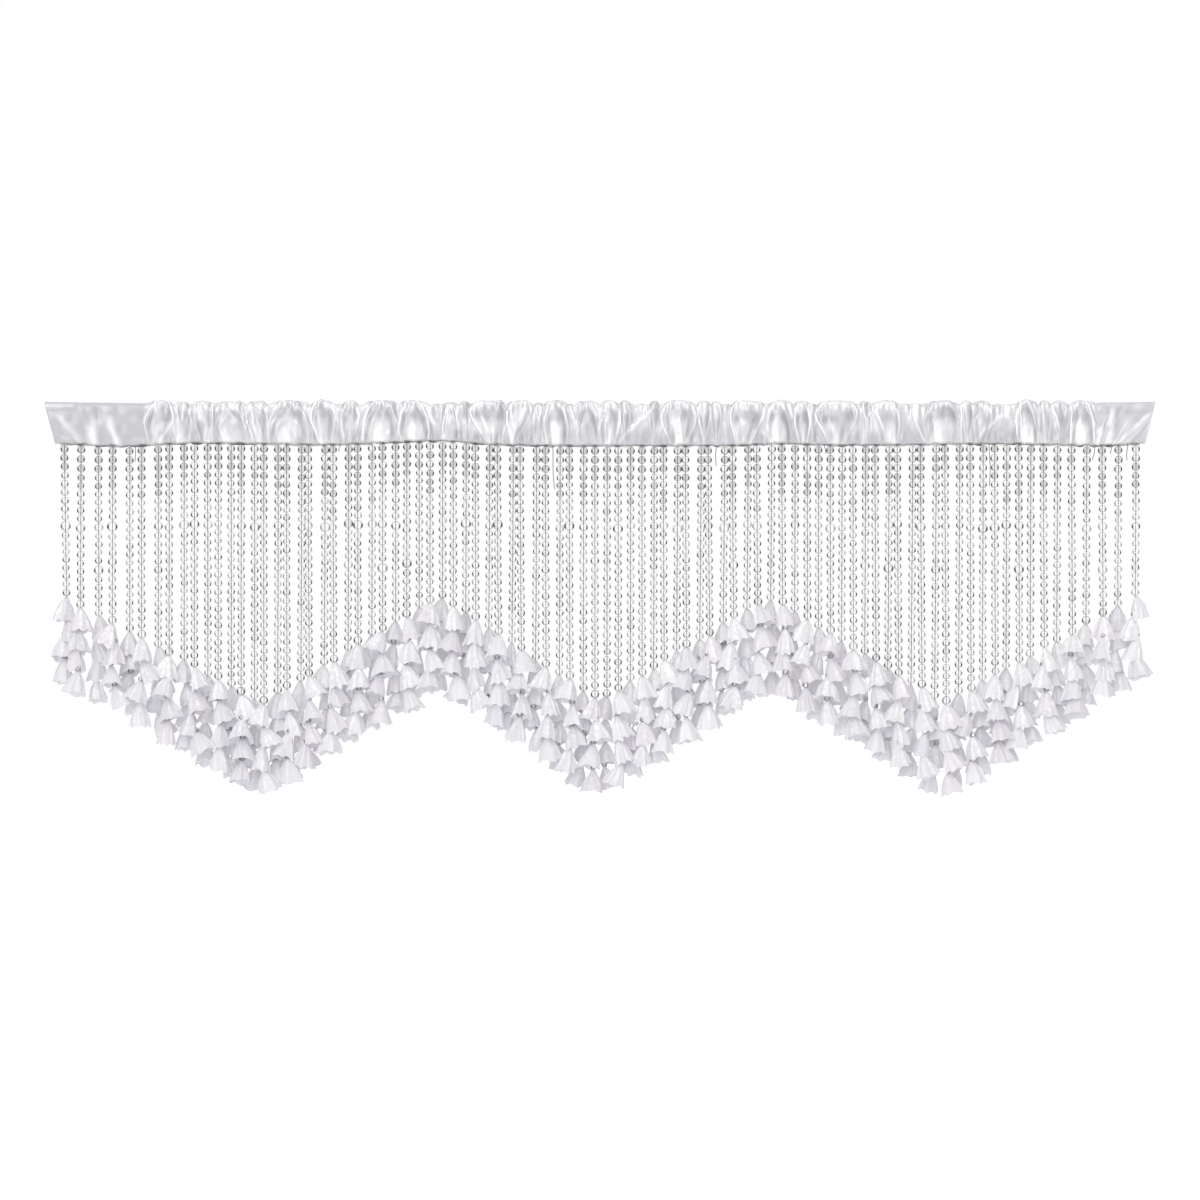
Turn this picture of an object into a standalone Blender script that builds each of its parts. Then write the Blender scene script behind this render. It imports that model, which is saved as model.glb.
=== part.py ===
"""Beaded valance: a gathered satin rod pocket over strings of clear beads and satin flowers.

Metres, +Z up. The origin is the middle of the top edge, +X runs along the width, and the
front faces -Y. The satin strip is folded over at its top edge and both its legs are sewn
to a narrow tape. The strings hang from that tape in a front and a back row, and each one
ends in a column of bell-shaped flowers whose heights follow a zigzag.
"""

import math
import random

import bmesh
import bpy

# The satin heading
TOP_WIDTH = 1.524
END_SLANT = 0.014  # how far each end draws in on its way down to the seam
FLAT_END = 0.137  # the stretch at each end that is not gathered
HEADING_DROP = 0.058
SATIN = 0.0012
CHANNEL_HALF = 0.0066  # from the middle plane to the cloth beside the rod channel
CREASE_DIP = 0.0025  # how far a crease draws the top edge down
LEG_CLEARANCE = 0.0003  # between the tape and each leg that is sewn to it

# The tape and the strings
TAPE = 0.0012
TAPE_RISE = 0.0065  # how far the tape reaches up between the legs
TAPE_SHOWS = 0.0016  # how far it shows below the seam
FRINGE_WIDTH = 1.471  # between the outermost strings
STRINGS = 88
END_STRINGS = 8  # the strings at each end that hang further apart
END_SPREAD = 0.45
BEAD_RADIUS = 0.0054
ROOT_RADIUS = 0.0012
ROOT_DROP = 0.003  # from the tape to the full width of the first bead
ROOT_STEP = 0.0022  # from the middle plane to a string where it leaves the tape
ROW_STEP = 0.011  # the same at its flowers, which push the two rows apart
LENGTH_SPREAD = 0.003
STRING_SEED = 88

# The flowers
FLOWERS = 4
FLOWER_PITCH = 0.030
FLOWER_DROP = 0.0275
TIP_RADIUS = 0.0022
RIM_RADIUS = 0.0138
RIM_TILT = 0.0022
HOLLOW_RADIUS = 0.0036
HOLLOW_RISE = 0.011

# Height of the first flower's tip below the top edge, at each turn of the zigzag
ZIGZAG = [
    {"x": -0.735, "drop": 0.268},
    {"x": -0.465, "drop": 0.415},
    {"x": -0.220, "drop": 0.268},
    {"x": 0.000, "drop": 0.411},
    {"x": 0.230, "drop": 0.268},
    {"x": 0.473, "drop": 0.415},
    {"x": 0.736, "drop": 0.267},
]

# How far the seam hangs below its straight line
SEAM = [
    {"x": -0.762, "sag": -0.0010},
    {"x": -0.660, "sag": 0.0026},
    {"x": -0.550, "sag": -0.0016},
    {"x": -0.385, "sag": 0.0008},
    {"x": -0.220, "sag": -0.0044},
    {"x": -0.137, "sag": 0.0008},
    {"x": -0.055, "sag": 0.0022},
    {"x": 0.165, "sag": 0.0020},
    {"x": 0.250, "sag": -0.0006},
    {"x": 0.330, "sag": 0.0014},
    {"x": 0.550, "sag": -0.0005},
    {"x": 0.686, "sag": 0.0018},
    {"x": 0.762, "sag": -0.0012},
]

# Each gather of the front, from its left crease to the next row's, and its swell
GATHERS = [
    {"crease": -0.625, "swell": 0.0070},
    {"crease": -0.588, "swell": 0.0030},
    {"crease": -0.564, "swell": 0.0065},
    {"crease": -0.532, "swell": 0.0055},
    {"crease": -0.495, "swell": 0.0060},
    {"crease": -0.459, "swell": 0.0072},
    {"crease": -0.403, "swell": 0.0064},
    {"crease": -0.360, "swell": 0.0055},
    {"crease": -0.327, "swell": 0.0075},
    {"crease": -0.278, "swell": 0.0074},
    {"crease": -0.238, "swell": 0.0040},
    {"crease": -0.219, "swell": 0.0045},
    {"crease": -0.182, "swell": 0.0076},
    {"crease": -0.130, "swell": 0.0060},
    {"crease": -0.097, "swell": 0.0035},
    {"crease": -0.076, "swell": 0.0070},
    {"crease": -0.039, "swell": 0.0060},
    {"crease": 0.000, "swell": 0.0050},
    {"crease": 0.027, "swell": 0.0055},
    {"crease": 0.082, "swell": 0.0072},
    {"crease": 0.130, "swell": 0.0038},
    {"crease": 0.153, "swell": 0.0040},
    {"crease": 0.178, "swell": 0.0075},
    {"crease": 0.226, "swell": 0.0066},
    {"crease": 0.263, "swell": 0.0050},
    {"crease": 0.293, "swell": 0.0078},
    {"crease": 0.351, "swell": 0.0034},
    {"crease": 0.372, "swell": 0.0055},
    {"crease": 0.404, "swell": 0.0058},
    {"crease": 0.446, "swell": 0.0074},
    {"crease": 0.494, "swell": 0.0048},
    {"crease": 0.529, "swell": 0.0055},
    {"crease": 0.569, "swell": 0.0070},
    {"crease": 0.610, "swell": 0.0040},
    {"crease": 0.645, "swell": 0.0072},
    {"crease": 0.683, "swell": 0.0018},
]
WIDE_GATHER = 0.026  # a gather wider than this takes two lines between its creases
END_SWELL = 0.0016

# The lines round the pocket: side -1 is the front. drop is a share of the heading's
# drop, depth a share of the channel's, and swell the share of the gathers' there.
POCKET = [
    {"side": 1, "drop": 1.00, "depth": 0.00, "swell": 0.00},
    {"side": 1, "drop": 0.87, "depth": 0.00, "swell": 0.05},
    {"side": 1, "drop": 0.60, "depth": 0.85, "swell": 0.20},
    {"side": 1, "drop": 0.28, "depth": 1.00, "swell": 0.30},
    {"side": 1, "drop": 0.05, "depth": 0.75, "swell": 0.20},
    {"side": -1, "drop": 0.00, "depth": 0.10, "swell": 0.10},
    {"side": -1, "drop": 0.05, "depth": 0.80, "swell": 0.55},
    {"side": -1, "drop": 0.20, "depth": 1.00, "swell": 1.00},
    {"side": -1, "drop": 0.42, "depth": 1.00, "swell": 0.85},
    {"side": -1, "drop": 0.66, "depth": 0.75, "swell": 0.50},
    {"side": -1, "drop": 0.87, "depth": 0.00, "swell": 0.12},
    {"side": -1, "drop": 1.00, "depth": 0.00, "swell": 0.00},
]


def clear_scene():
    for old in list(bpy.data.objects):
        bpy.data.objects.remove(old)


def read_between(table, x, column, ease=lambda share: share):
    """The column's value at x, between the rows on either side of it."""
    x = min(max(x, table[0]["x"]), table[-1]["x"])
    for left, right in zip(table, table[1:]):
        if x <= right["x"]:
            share = ease((x - left["x"]) / (right["x"] - left["x"]))
            return left[column] + (right[column] - left[column]) * share
    return table[-1][column]


def smooth(share):
    return share * share * (3 - 2 * share)


def seam_sag(x):
    return read_between(SEAM, x, "sag", smooth)


def material(name, color, roughness, metallic=0.0, transmission=0.0):
    made = bpy.data.materials.new(name)
    made.use_nodes = True
    shader = made.node_tree.nodes["Principled BSDF"]
    shader.inputs["Base Color"].default_value = (*color, 1.0)
    shader.inputs["Roughness"].default_value = roughness
    shader.inputs["Metallic"].default_value = metallic
    shader.inputs["Transmission Weight"].default_value = transmission
    return made


def object_from(bm, name, surface):
    bmesh.ops.recalc_face_normals(bm, faces=bm.faces)
    mesh = bpy.data.meshes.new(name)
    bm.to_mesh(mesh)
    bm.free()
    mesh.materials.append(surface)
    made = bpy.data.objects.new(name, mesh)
    bpy.context.scene.collection.objects.link(made)
    return made


def pocket_lines():
    """The upright lines of the pocket's mesh: place along the top, swell, and 1 at a crease."""
    half = TOP_WIDTH / 2
    lines = []
    for share in (0.0, 0.35, 0.7):
        swell = END_SWELL * math.sin(math.pi * share)
        lines.append((-half + FLAT_END * share, swell, 0))
    for gather, after in zip(GATHERS, GATHERS[1:]):
        left, right = gather["crease"], after["crease"]
        lines.append((left, 0.0, 1))
        shares = (0.3, 0.7) if right - left > WIDE_GATHER else (0.5,)
        for share in shares:
            lines.append((left + (right - left) * share, gather["swell"], 0))
    last = GATHERS[-1]
    lines.append((last["crease"], 0.0, 1))
    lines.append(((last["crease"] + half) / 2, last["swell"], 0))
    lines.append((half, 0.0, 0))
    return lines


def pocket_point(x, swell, crease, line):
    """A point of the folded strip, on the middle of its thickness."""
    half = TOP_WIDTH / 2
    flat = max(0.0, abs(x) - (half - FLAT_END)) / FLAT_END
    drawn_in = math.copysign(END_SLANT * flat * line["drop"], x)
    seam_half = TAPE / 2 + LEG_CLEARANCE + SATIN / 2
    depth = seam_half + (CHANNEL_HALF - seam_half) * line["depth"] + swell * line["swell"]
    top = -SATIN / 2 - CREASE_DIP * crease
    foot = -HEADING_DROP - seam_sag(x)
    return (x - drawn_in, line["side"] * depth, top + (foot - top) * line["drop"])


def make_heading(surface):
    """The satin strip, folded over along its top edge and open at both ends for a rod."""
    bm = bmesh.new()
    columns = []
    for x, swell, crease in pocket_lines():
        columns.append([bm.verts.new(pocket_point(x, swell, crease, line)) for line in POCKET])
    for left, right in zip(columns, columns[1:]):
        for k in range(len(POCKET) - 1):
            bm.faces.new((left[k], right[k], right[k + 1], left[k + 1]))
    heading = object_from(bm, "heading_pocket", surface)
    thick = heading.modifiers.new("satin", "SOLIDIFY")
    thick.thickness = SATIN
    thick.offset = 0.0
    heading.data.shade_smooth()
    heading.data.set_sharp_from_angle(angle=math.radians(50))
    return heading


def string_places():
    """The strings' places along the width: far apart at the ends, in loose pairs between."""
    rng = random.Random(STRING_SEED)
    gaps = []
    for i in range(STRINGS - 1):
        from_end = min(i, STRINGS - 2 - i)
        spread = END_SPREAD * max(0.0, 1 - from_end / END_STRINGS)
        if i % 2 == 0:
            pull = 0.2 + 0.17 * math.sin(0.37 * i + 1.0) + rng.uniform(-0.05, 0.05)
        paired = -pull if i % 2 == 0 else pull
        gaps.append(1 + spread + paired * max(0.0, 1 - 2.2 * spread))
    unit = FRINGE_WIDTH / sum(gaps)
    places = [-FRINGE_WIDTH / 2]
    for gap in gaps:
        places.append(places[-1] + gap * unit)
    return places


def ring(x, y, z, radius, tilt=(0.0, 0.0)):
    """Four corners round a string, tilted by tilt metres towards +X and +Y."""
    corners = ((0, -1), (1, 0), (0, 1), (-1, 0))
    return [
        (x + radius * a, y + radius * b, z + tilt[0] * a + tilt[1] * b) for a, b in corners
    ]


def string_rings(x, side, drop, rng):
    """The rings of one string, from its first bead to its last flower's hollow."""
    tape_foot = -HEADING_DROP - seam_sag(x) - TAPE_SHOWS
    row = side * ROW_STEP
    rings = [ring(x, side * ROOT_STEP, tape_foot - ROOT_DROP, BEAD_RADIUS)]
    for k in range(FLOWERS):
        tip = -drop - k * FLOWER_PITCH
        rim = tip - FLOWER_DROP
        tilt = (rng.uniform(-RIM_TILT, RIM_TILT), rng.uniform(-RIM_TILT, RIM_TILT))
        tip_radius = BEAD_RADIUS if k == 0 else TIP_RADIUS
        rings.append(ring(x, row, tip, tip_radius))
        rings.append(ring(x, row, rim, RIM_RADIUS, tilt))
        rings.append(ring(x, row, rim + HOLLOW_RISE, HOLLOW_RADIUS))
    return rings


def grow_string(bm, root, rings):
    """Skins a string's rings, from its four root corners on the tape to a closed end."""
    loops = [root] + [[bm.verts.new(point) for point in points] for points in rings]
    for upper, lower in zip(loops, loops[1:]):
        for k in range(4):
            after = (k + 1) % 4
            bm.faces.new((upper[k], lower[k], lower[after], upper[after]))
    bm.faces.new(loops[-1])


def tape_section(bm, x):
    """The tape's four corners at x: low front, low back, high back and high front."""
    seam = -HEADING_DROP - seam_sag(x)
    low, high = seam - TAPE_SHOWS, seam + TAPE_RISE
    outline = ((-1, low), (1, low), (1, high), (-1, high))
    return [bm.verts.new((x, side * TAPE / 2, z)) for side, z in outline]


def make_fringe(surface):
    """The tape between the heading's legs, with the strings growing from its lower edge."""
    rng = random.Random(STRING_SEED)
    places = string_places()
    half = FRINGE_WIDTH / 2 + BEAD_RADIUS
    stations = [-half]
    for x in places:
        stations += [x - ROOT_RADIUS, x + ROOT_RADIUS]
    stations.append(half)

    bm = bmesh.new()
    sections = [tape_section(bm, x) for x in stations]
    for k, (left, right) in enumerate(zip(sections, sections[1:])):
        at_string = k % 2 == 1
        for corner in range(1 if at_string else 0, 4):
            after = (corner + 1) % 4
            bm.faces.new((left[corner], left[after], right[after], right[corner]))
        if at_string:
            i = k // 2
            x = places[i]
            side = -1 if i % 2 else 1
            spread = rng.uniform(-LENGTH_SPREAD, LENGTH_SPREAD)
            drop = read_between(ZIGZAG, x, "drop") + spread
            root = [left[0], right[0], right[1], left[1]]
            grow_string(bm, root, string_rings(x, side, drop, rng))
    bm.faces.new(list(reversed(sections[0])))
    bm.faces.new(sections[-1])
    return object_from(bm, "bead_fringe", surface)


def main():
    clear_scene()
    satin = material("satin", (0.90, 0.90, 0.92), roughness=0.35)
    bead = material("clear_bead", (0.86, 0.88, 0.90), roughness=0.05, transmission=0.9)
    make_heading(satin)
    make_fringe(bead)


main()
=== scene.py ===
"""Looks of the beaded valance: satin heading, tape, bead strings and satin flowers.

Everything is in metres in the part's own frame: the origin is the middle of the top
edge, +X runs along the width, the front faces -Y and the strings hang down -Z.
"""

import math
import random

import bpy
import numpy as np
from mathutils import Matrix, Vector, noise


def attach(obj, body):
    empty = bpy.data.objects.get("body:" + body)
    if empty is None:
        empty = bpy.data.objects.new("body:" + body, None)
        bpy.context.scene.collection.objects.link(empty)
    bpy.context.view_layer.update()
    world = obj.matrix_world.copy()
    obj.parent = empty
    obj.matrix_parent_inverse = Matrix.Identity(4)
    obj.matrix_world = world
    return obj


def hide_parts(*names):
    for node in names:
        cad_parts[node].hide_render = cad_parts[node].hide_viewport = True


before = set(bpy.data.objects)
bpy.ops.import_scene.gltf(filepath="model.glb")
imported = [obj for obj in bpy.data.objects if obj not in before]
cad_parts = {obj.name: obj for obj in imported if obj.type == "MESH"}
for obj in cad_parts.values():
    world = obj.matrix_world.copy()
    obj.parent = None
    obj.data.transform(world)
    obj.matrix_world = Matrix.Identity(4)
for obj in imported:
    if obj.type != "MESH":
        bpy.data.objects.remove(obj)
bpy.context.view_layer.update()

MM = 0.001
NEARBY = 30  # how far beyond its ends a puff or a crease is felt, in millimetres


def table_of(columns, *rows):
    """Rows of numbers as dicts of the named columns; a row may leave out a last number of 0."""
    names = columns.split()
    return [dict(zip(names, (*row, 0))) for row in rows]


# The heading, as the solid has it
TOP_WIDTH = 1.524
END_SLANT = 0.014
FLAT_END = 0.137
HEADING_DROP = 0.058
SATIN = 0.0012
SEEN_SATIN = 0.0007  # the cloth that shows is thinner than the solid's sheet
CHANNEL_HALF = 0.0066
LEG_CLEARANCE = 0.0003
SEWN_EDGE = 0.0009  # how far the cloth runs on below its stitches

# The tape and the strings, which hang in two rows as the solid's strands do
TAPE = 0.0012
SEAM_HALF = TAPE / 2 + LEG_CLEARANCE + SATIN / 2  # from the tape's middle to a leg's middle
TAPE_RISE = 0.0065
TAPE_SHOWS = 0.0016
FRINGE_WIDTH = 1.471
STRINGS = 88
END_STRINGS = 8
END_SPREAD = 0.45
ROOT_STEP = 0.0022
ROW_STEP = 0.011
LENGTH_SPREAD = 0.003
STRING_SEED = 88
PUSHED_SHARE = 0.3  # of the way to the middle between a string's neighbours, at its first flower
MOST_PUSHED = 0.002

# Beads, by diameter, and how far apart their middles hang
SMALL_BEAD = 0.0106
TOP_BEAD = 0.0116
ROW_SWELL = 0.0044
LAST_BEAD = 0.0120
TOP_BEADS = 3
BEAD_PITCH = 0.0115
ROW_DROP = 0.166
SECOND_ROW_DROP = 0.223
BEAD_SEED = 5
BEAD_SIDES = 14
BEAD_RINGS = 7
THREAD_RADIUS = 0.00042
SPACER_BEAD = 0.0080
SPACER_RISE = 0.0031  # how far a spacer's middle is above the tip of the flower below it

# The flowers
FLOWERS = 4
FLOWER_DROP = 0.0328
FLOWER_RADIUS = 0.0152
FLOWER_SIDES = 42  # points round each ring
FLOWER_TILT = math.radians(22)
FLOWER_SWING = 0.004  # how far a string's last flower may hang aside
JOSTLE = 0.0034  # how far the lower flowers are pushed about by those beside them

# How far below the top edge the strings' first flowers hang
ZIGZAG = table_of(
    "x drop", (-0.735, 0.268), (-0.465, 0.415), (-0.220, 0.268), (0.000, 0.411), (0.230, 0.268),
    (0.473, 0.415), (0.736, 0.267),
)

# How far apart a string's flowers hang: closest at the ends, furthest in the middle point
SPACING = table_of(
    "x pitch", (-0.735, 0.0280), (-0.660, 0.0280), (-0.560, 0.0308), (-0.130, 0.0308),
    (0.000, 0.0322), (0.130, 0.0308), (0.540, 0.0308), (0.640, 0.0276), (0.736, 0.0278),
)

# How far the seam sags below its line
SEAM = table_of(
    "x sag", (-0.762, -0.0010), (-0.660, 0.0026), (-0.550, -0.0016), (-0.385, 0.0008),
    (-0.220, -0.0044), (-0.137, 0.0008), (-0.055, 0.0022), (0.165, 0.0020), (0.250, -0.0006),
    (0.330, 0.0014), (0.550, -0.0005), (0.686, 0.0018), (0.762, -0.0012),
)

# The puffs between the gathers of the front, in millimetres: a bell is widest near the seam
# and a cup near the top. top, widest and waist are percentages: how far down its arch closes,
# where it is widest and how much it has narrowed at the seam. lean is the way its foot goes.
# left and right are how strong the painted highlight line on each edge is, glow how light its
# painted tongue of light is and at where across it (-1 to 1), and dark how strong the painted
# grey band of shade under its crown is.
PUFFS = table_of(
    "from to swell top widest waist lean left right at glow dark",
    (-624, -586, 6.5, 0, 40, 60, -12, 1, 0.8, -0.4, 0.5, 1.3),
    (-586, -560, 2.5, 10, 50, 40, 0, 0.2, 0.2, 0, 0.2, 0.8),
    (-558, -532, 6, 0, 35, 50, 4, 0.2, 0, 0.5, 0.8, 0.3),
    (-529, -485, 5, 4, 70, 0, 8, 0.1, 0.4, -0.3, 0.7, 1.2),
    (-485, -456, 5.5, 4, 35, 45, 5, 0.4, 0.2, 0, 0.8, 0.8),
    (-456, -399, 7.4, 0, 80, 5, 0, 0.7, 0.1, -0.1, 0.9, 1),
    (-396, -364, 6, 0, 35, 45, 7, 1, 0.1, -0.5, 0.9, 1.2),
    (-355, -331, 4.5, 3, 35, 50, -4, 0.6, 0.6, 0, 0.3, 1.3),
    (-326, -277, 7.6, 0, 85, 0, 0, 1, 0.3, -0.2, 0.9, 1.2),
    (-276, -234, 7.4, 0, 75, 15, 3, 1, 0.9, -0.1, 0.9, 1.1),
    (-216, -194, 3.4, 8, 80, 0, 0, 0.8, 0.4, 0, 0.2, 0.8),
    (-193, -179, 3, 4, 50, 20, 0, 0.1, 0.1, 0, 0, 1.4),
    (-178, -128, 7.8, 0, 22, 55, 10, 1, 0.5, -0.5, 0.9, 1.2),
    (-127, -94, 6, 0, 20, 80, -12, 0.9, 0.4, -0.3, 1.1, 0.2),
    (-91, -78, 2.6, 10, 50, 30, 0, 0.4, 0.4, 0, 0, 0.4),
    (-76, -44, 7, 0, 60, 15, 3, 0.6, 0.2, -0.2, 1.2, 0.9),
    (-32, -1, 5.5, 3, 80, 0, 2, 0.2, 0, 0.4, 0.1, 1.7),
    (-1, 27, 4.8, 5, 40, 30, -5, 0.4, 0.8, 0.2, 0.6, 0.8),
    (27, 41, 4, 1, 20, 80, 0, 0.2, 0.2, 0, 0.1, 1),
    (68, 82, 3.6, 2, 18, 80, -3, 0.1, 0.1, 0, 0, 1.2),
    (84, 132, 7.4, 0, 30, 50, 0, 1, 0.6, -0.2, 1, 0.7),
    (134, 152, 4.6, 1, 16, 90, 0, 0.7, 0.5, 0, 0.1, 0.9),
    (152, 166, 4, 2, 20, 70, 0, 0.3, 0.2, 0, 0, 0.2),
    (179, 226, 7.6, 0, 18, 55, -8, 0.9, 0.7, -0.6, 0.9, 1.2),
    (230, 263, 6.5, 0, 80, 5, 5, 0.8, 0, -0.5, 1.2, 0.8),
    (267, 288, 5.4, 1, 45, 50, 2, 0.6, 0.9, 0, 0.5, 1.3),
    (296, 353, 7.8, 0, 22, 60, 0, 1, 0.4, -0.5, 0.9, 1.3),
    (356, 372, 2.8, 6, 50, 30, 0, 0.2, 0.2, 0, 0, 0.6),
    (374, 410, 5.5, 0, 30, 35, 8, 0.2, 0.6, 0.5, 1, 0.5),
    (446, 494, 7, 2, 50, 10, 0, 0.2, 0.1, -0.2, 0.8, 1.3),
    (496, 512, 4.4, 1, 16, 85, 0, 0.3, 0.2, 0, 0.2, 0.6),
    (512, 537, 4.6, 5, 40, 50, -5, 0.1, 0.2, 0, 0.2, 1.1),
    (572, 601, 7, 0, 80, 10, 6, 0.9, 0.2, -0.3, 1.3, 0.7),
    (602, 618, 3.4, 4, 50, 30, 0, 0.2, 0.1, 0, 0.3, 0.2),
    (620, 641, 4.8, 0, 16, 90, 0, 0.2, 0.2, 0, 0, 0.3),
    (647, 683, 7.4, 0, 85, 0, 5, 0.8, 0.9, -0.2, 1.2, 0.9),
)


def read_between(table, x, column, ease=lambda share: share):
    """The column's value at x, between the rows on either side of it."""
    x = min(max(x, table[0]["x"]), table[-1]["x"])
    for left, right in zip(table, table[1:]):
        if x <= right["x"]:
            share = ease((x - left["x"]) / (right["x"] - left["x"]))
            return left[column] + (right[column] - left[column]) * share
    return table[-1][column]


def smooth(share):
    share = min(max(share, 0.0), 1.0)
    return share * share * (3 - 2 * share)


def bell(value, width):
    return math.exp(-((value / width) ** 2))


def rough(along, down, layer):
    """Smooth unevenness, from about -1 to 1; each layer is a pattern of its own."""
    return noise.noise(Vector((along, down, layer)))


def near(x, table):
    """The rows whose stretch of the width, a little widened, holds x."""
    return [
        row for row in table
        if min(row["from"], row["to"]) - NEARBY < x / MM < max(row["from"], row["to"]) + NEARBY
    ]


def seam_sag(x):
    return read_between(SEAM, x, "sag", smooth)


# ---- node helpers

BUMP_DISTANCE = 0.0002


class Graph:
    """A tree of shader nodes."""

    def __init__(self, tree):
        self.tree = tree

    def add(self, kind, inputs=None, **settings):
        node = self.tree.nodes.new(kind)
        for key, value in settings.items():
            setattr(node, key, value)
        for socket, value in (inputs or {}).items():
            if isinstance(value, bpy.types.NodeSocket):
                self.tree.links.new(value, node.inputs[socket])
            else:
                node.inputs[socket].default_value = value
        return node

    def span(self, value, source, target):
        """The value carried smoothly from one range to another, and held at both ends."""
        ranges = {"From Min": source[0], "From Max": source[1], "To Min": target[0], "To Max": target[1]}
        kind = {"interpolation_type": "SMOOTHSTEP"}
        return self.add("ShaderNodeMapRange", {"Value": value, **ranges}, **kind).outputs["Result"]

    def math(self, operation, first, second):
        return self.add("ShaderNodeMath", {0: first, 1: second}, operation=operation).outputs[0]

    def mix(self, factor, first, second, **settings):
        inputs = {"Factor": factor, "A": first, "B": second}
        return self.add("ShaderNodeMix", inputs, **settings).outputs["Result"]


class Nodes(Graph):
    """A new material's node tree, with its Principled shader."""

    def __init__(self, name):
        self.material = bpy.data.materials.new(name)
        self.material.use_nodes = True
        super().__init__(self.material.node_tree)
        self.shader = self.tree.nodes["Principled BSDF"]

    def set(self, **values):
        for socket, value in values.items():
            self.shader.inputs[socket.replace("_", " ")].default_value = value

    def link(self, source, socket):
        self.tree.links.new(source, self.shader.inputs[socket])

    def where(self):
        return self.add("ShaderNodeTexCoord").outputs["Object"]

    def attribute(self, name):
        return self.add("ShaderNodeAttribute", attribute_name=name).outputs["Fac"]

    def noise(self, scale, detail, roughness=0.5):
        """Cloudy grey, fixed to the piece."""
        inputs = {"Vector": self.where(), "Scale": scale, "Detail": detail, "Roughness": roughness}
        return self.add("ShaderNodeTexNoise", inputs).outputs["Fac"]

    def bands(self, scale, distortion, detail=2.0):
        """Fine slanting lines, fixed to the piece."""
        inputs = {"Vector": self.where(), "Scale": scale, "Distortion": distortion, "Detail": detail}
        settings = {"wave_type": "BANDS", "bands_direction": "DIAGONAL"}
        return self.add("ShaderNodeTexWave", inputs, **settings).outputs["Fac"]

    def ramp(self, factor, stops):
        node = self.add("ShaderNodeValToRGB", {"Fac": factor})
        points = node.color_ramp.elements
        while len(points) < len(stops):
            points.new(0.5)
        for point, (place, color) in zip(points, stops):
            point.position = place
            point.color = (*color, 1.0)
        return node.outputs["Color"]

    def bump(self, height, strength):
        inputs = {"Height": height, "Strength": strength, "Distance": BUMP_DISTANCE}
        self.link(self.add("ShaderNodeBump", inputs).outputs["Normal"], "Normal")


def satin_material(name, hollow, flat, crest):
    """White satin, with painted shade in its hollows and a painted highlight along its crests, and long
    smooth floats.
    """
    made = Nodes(name)
    cloud = made.span(made.noise(26.0, 3.0, 0.55), (0.3, 0.7), (-0.06, 0.06))
    shade = made.math("ADD", made.attribute("shade"), cloud)
    # The shade attribute is painted light and shade: hollow is the painted shade colour, crest the
    # painted highlight.
    made.link(made.ramp(shade, [(0.10, hollow), (0.55, flat), (0.94, crest)]), "Base Color")
    floats, slub = made.bands(420.0, 2.2), made.noise(160.0, 4.0, 0.6)
    made.bump(made.mix(0.55, floats, slub), 0.22)
    made.link(made.span(shade, (0.2, 1.0), (0.40, 0.27)), "Roughness")
    made.set(Metallic=0.36, Specular_IOR_Level=0.6, Sheen_Weight=0.15, Sheen_Roughness=0.35)
    return made.material


def petal_material(name, tints):
    """Stiffened thin satin that lets some light through, in slightly different whites, with painted shade
    in its colour and a faint painted glow.
    """
    made = Nodes(name)
    # Painted shade: small grey crinkle patches, added to the painted shade in the crease attribute.
    crinkle_shade = made.span(made.noise(170.0, 3.0, 0.6), (0.44, 0.58), (0.0, 0.55))
    grey = made.math("ADD", made.attribute("crease"), crinkle_shade)
    shadow = made.ramp(grey, [(0.0, (1.0, 1.0, 1.0)), (1.0, (0.76, 0.75, 0.775))])
    tint = made.ramp(made.attribute("tone"), tints)
    made.link(made.mix(1.0, tint, shadow, data_type="RGBA", blend_type="MULTIPLY"), "Base Color")
    made.bump(made.noise(700.0, 3.0, 0.6), 0.3)
    gloss = {"Value": made.noise(90.0, 2.0), "To Min": 0.26, "To Max": 0.44}
    made.link(made.add("ShaderNodeMapRange", gloss).outputs["Result"], "Roughness")
    made.set(Specular_IOR_Level=0.6, Sheen_Weight=0.4, Sheen_Roughness=0.5)
    # Painted glow: a faint steady emission that stands in for light coming through the petals.
    made.set(Emission_Color=(0.97, 0.96, 1.0, 1.0), Emission_Strength=0.10)
    made.set(Subsurface_Weight=0.15, Subsurface_Radius=(0.002, 0.002, 0.0021), Subsurface_Scale=1.0)
    return made.material


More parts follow.
